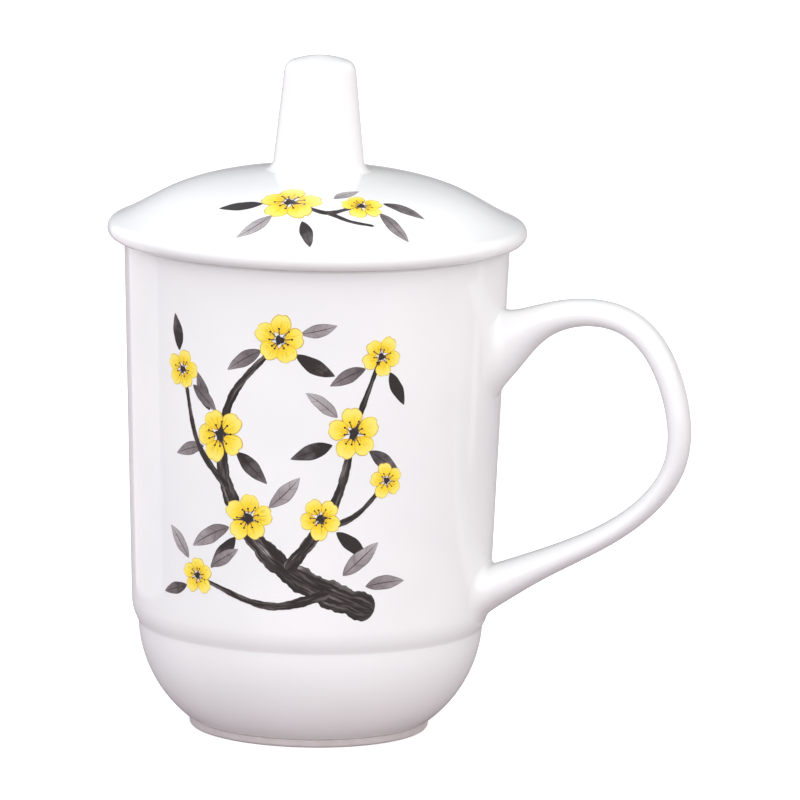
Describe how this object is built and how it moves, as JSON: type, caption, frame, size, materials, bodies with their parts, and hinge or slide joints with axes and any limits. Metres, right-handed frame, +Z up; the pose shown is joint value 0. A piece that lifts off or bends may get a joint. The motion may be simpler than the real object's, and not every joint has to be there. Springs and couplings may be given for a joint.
{
  "type": "lidded tea cup",
  "caption": "Porcelain tea cup with a flared wall, stepped rounded base and loop handle, and a loose domed lid with a tall knob that lifts off and turns.",
  "frame": {"origin": "centre of the foot ring, on the plane that the cup stands on", "axes": "+Z up along the axis of the cup, +X out along the handle, -Y towards the printed side"},
  "size_m": [0.1282, 0.0908, 0.1471],
  "materials": {
    "glaze": "glossy clear glaze",
    "bare_foot": "matt unglazed porcelain",
    "enamel_yellow": "glossy enamel print",
    "enamel_ink": "glossy enamel print",
    "enamel_grey": "glossy enamel print"
  },
  "bodies": {
    "cup": {"cup_body": "glaze", "foot_ring": "bare_foot", "handle": "glaze", "cup_print_blossoms": "enamel_yellow", "cup_print_centres": "enamel_ink", "cup_print_branch": "enamel_ink", "cup_print_leaves": "enamel_grey"},
    "lid_seat": {"lid_locating_ring": "glaze"},
    "lid": {"lid_body": "glaze", "lid_knob": "glaze", "lid_print_blossoms": "enamel_yellow", "lid_print_centres": "enamel_ink", "lid_print_branch": "enamel_ink", "lid_print_leaves": "enamel_grey"}
  },
  "joints": [
    {"name": "lid_lift", "type": "slide", "parent": "cup", "child": "lid_seat", "axis": [0, 0, 1], "range_m": [0, 0.12]},
    {"name": "lid_turn", "type": "hinge", "parent": "lid_seat", "child": "lid", "pos_m": [0, 0, 0.10695], "axis": [0, 0, 1], "continuous": true}
  ]
}
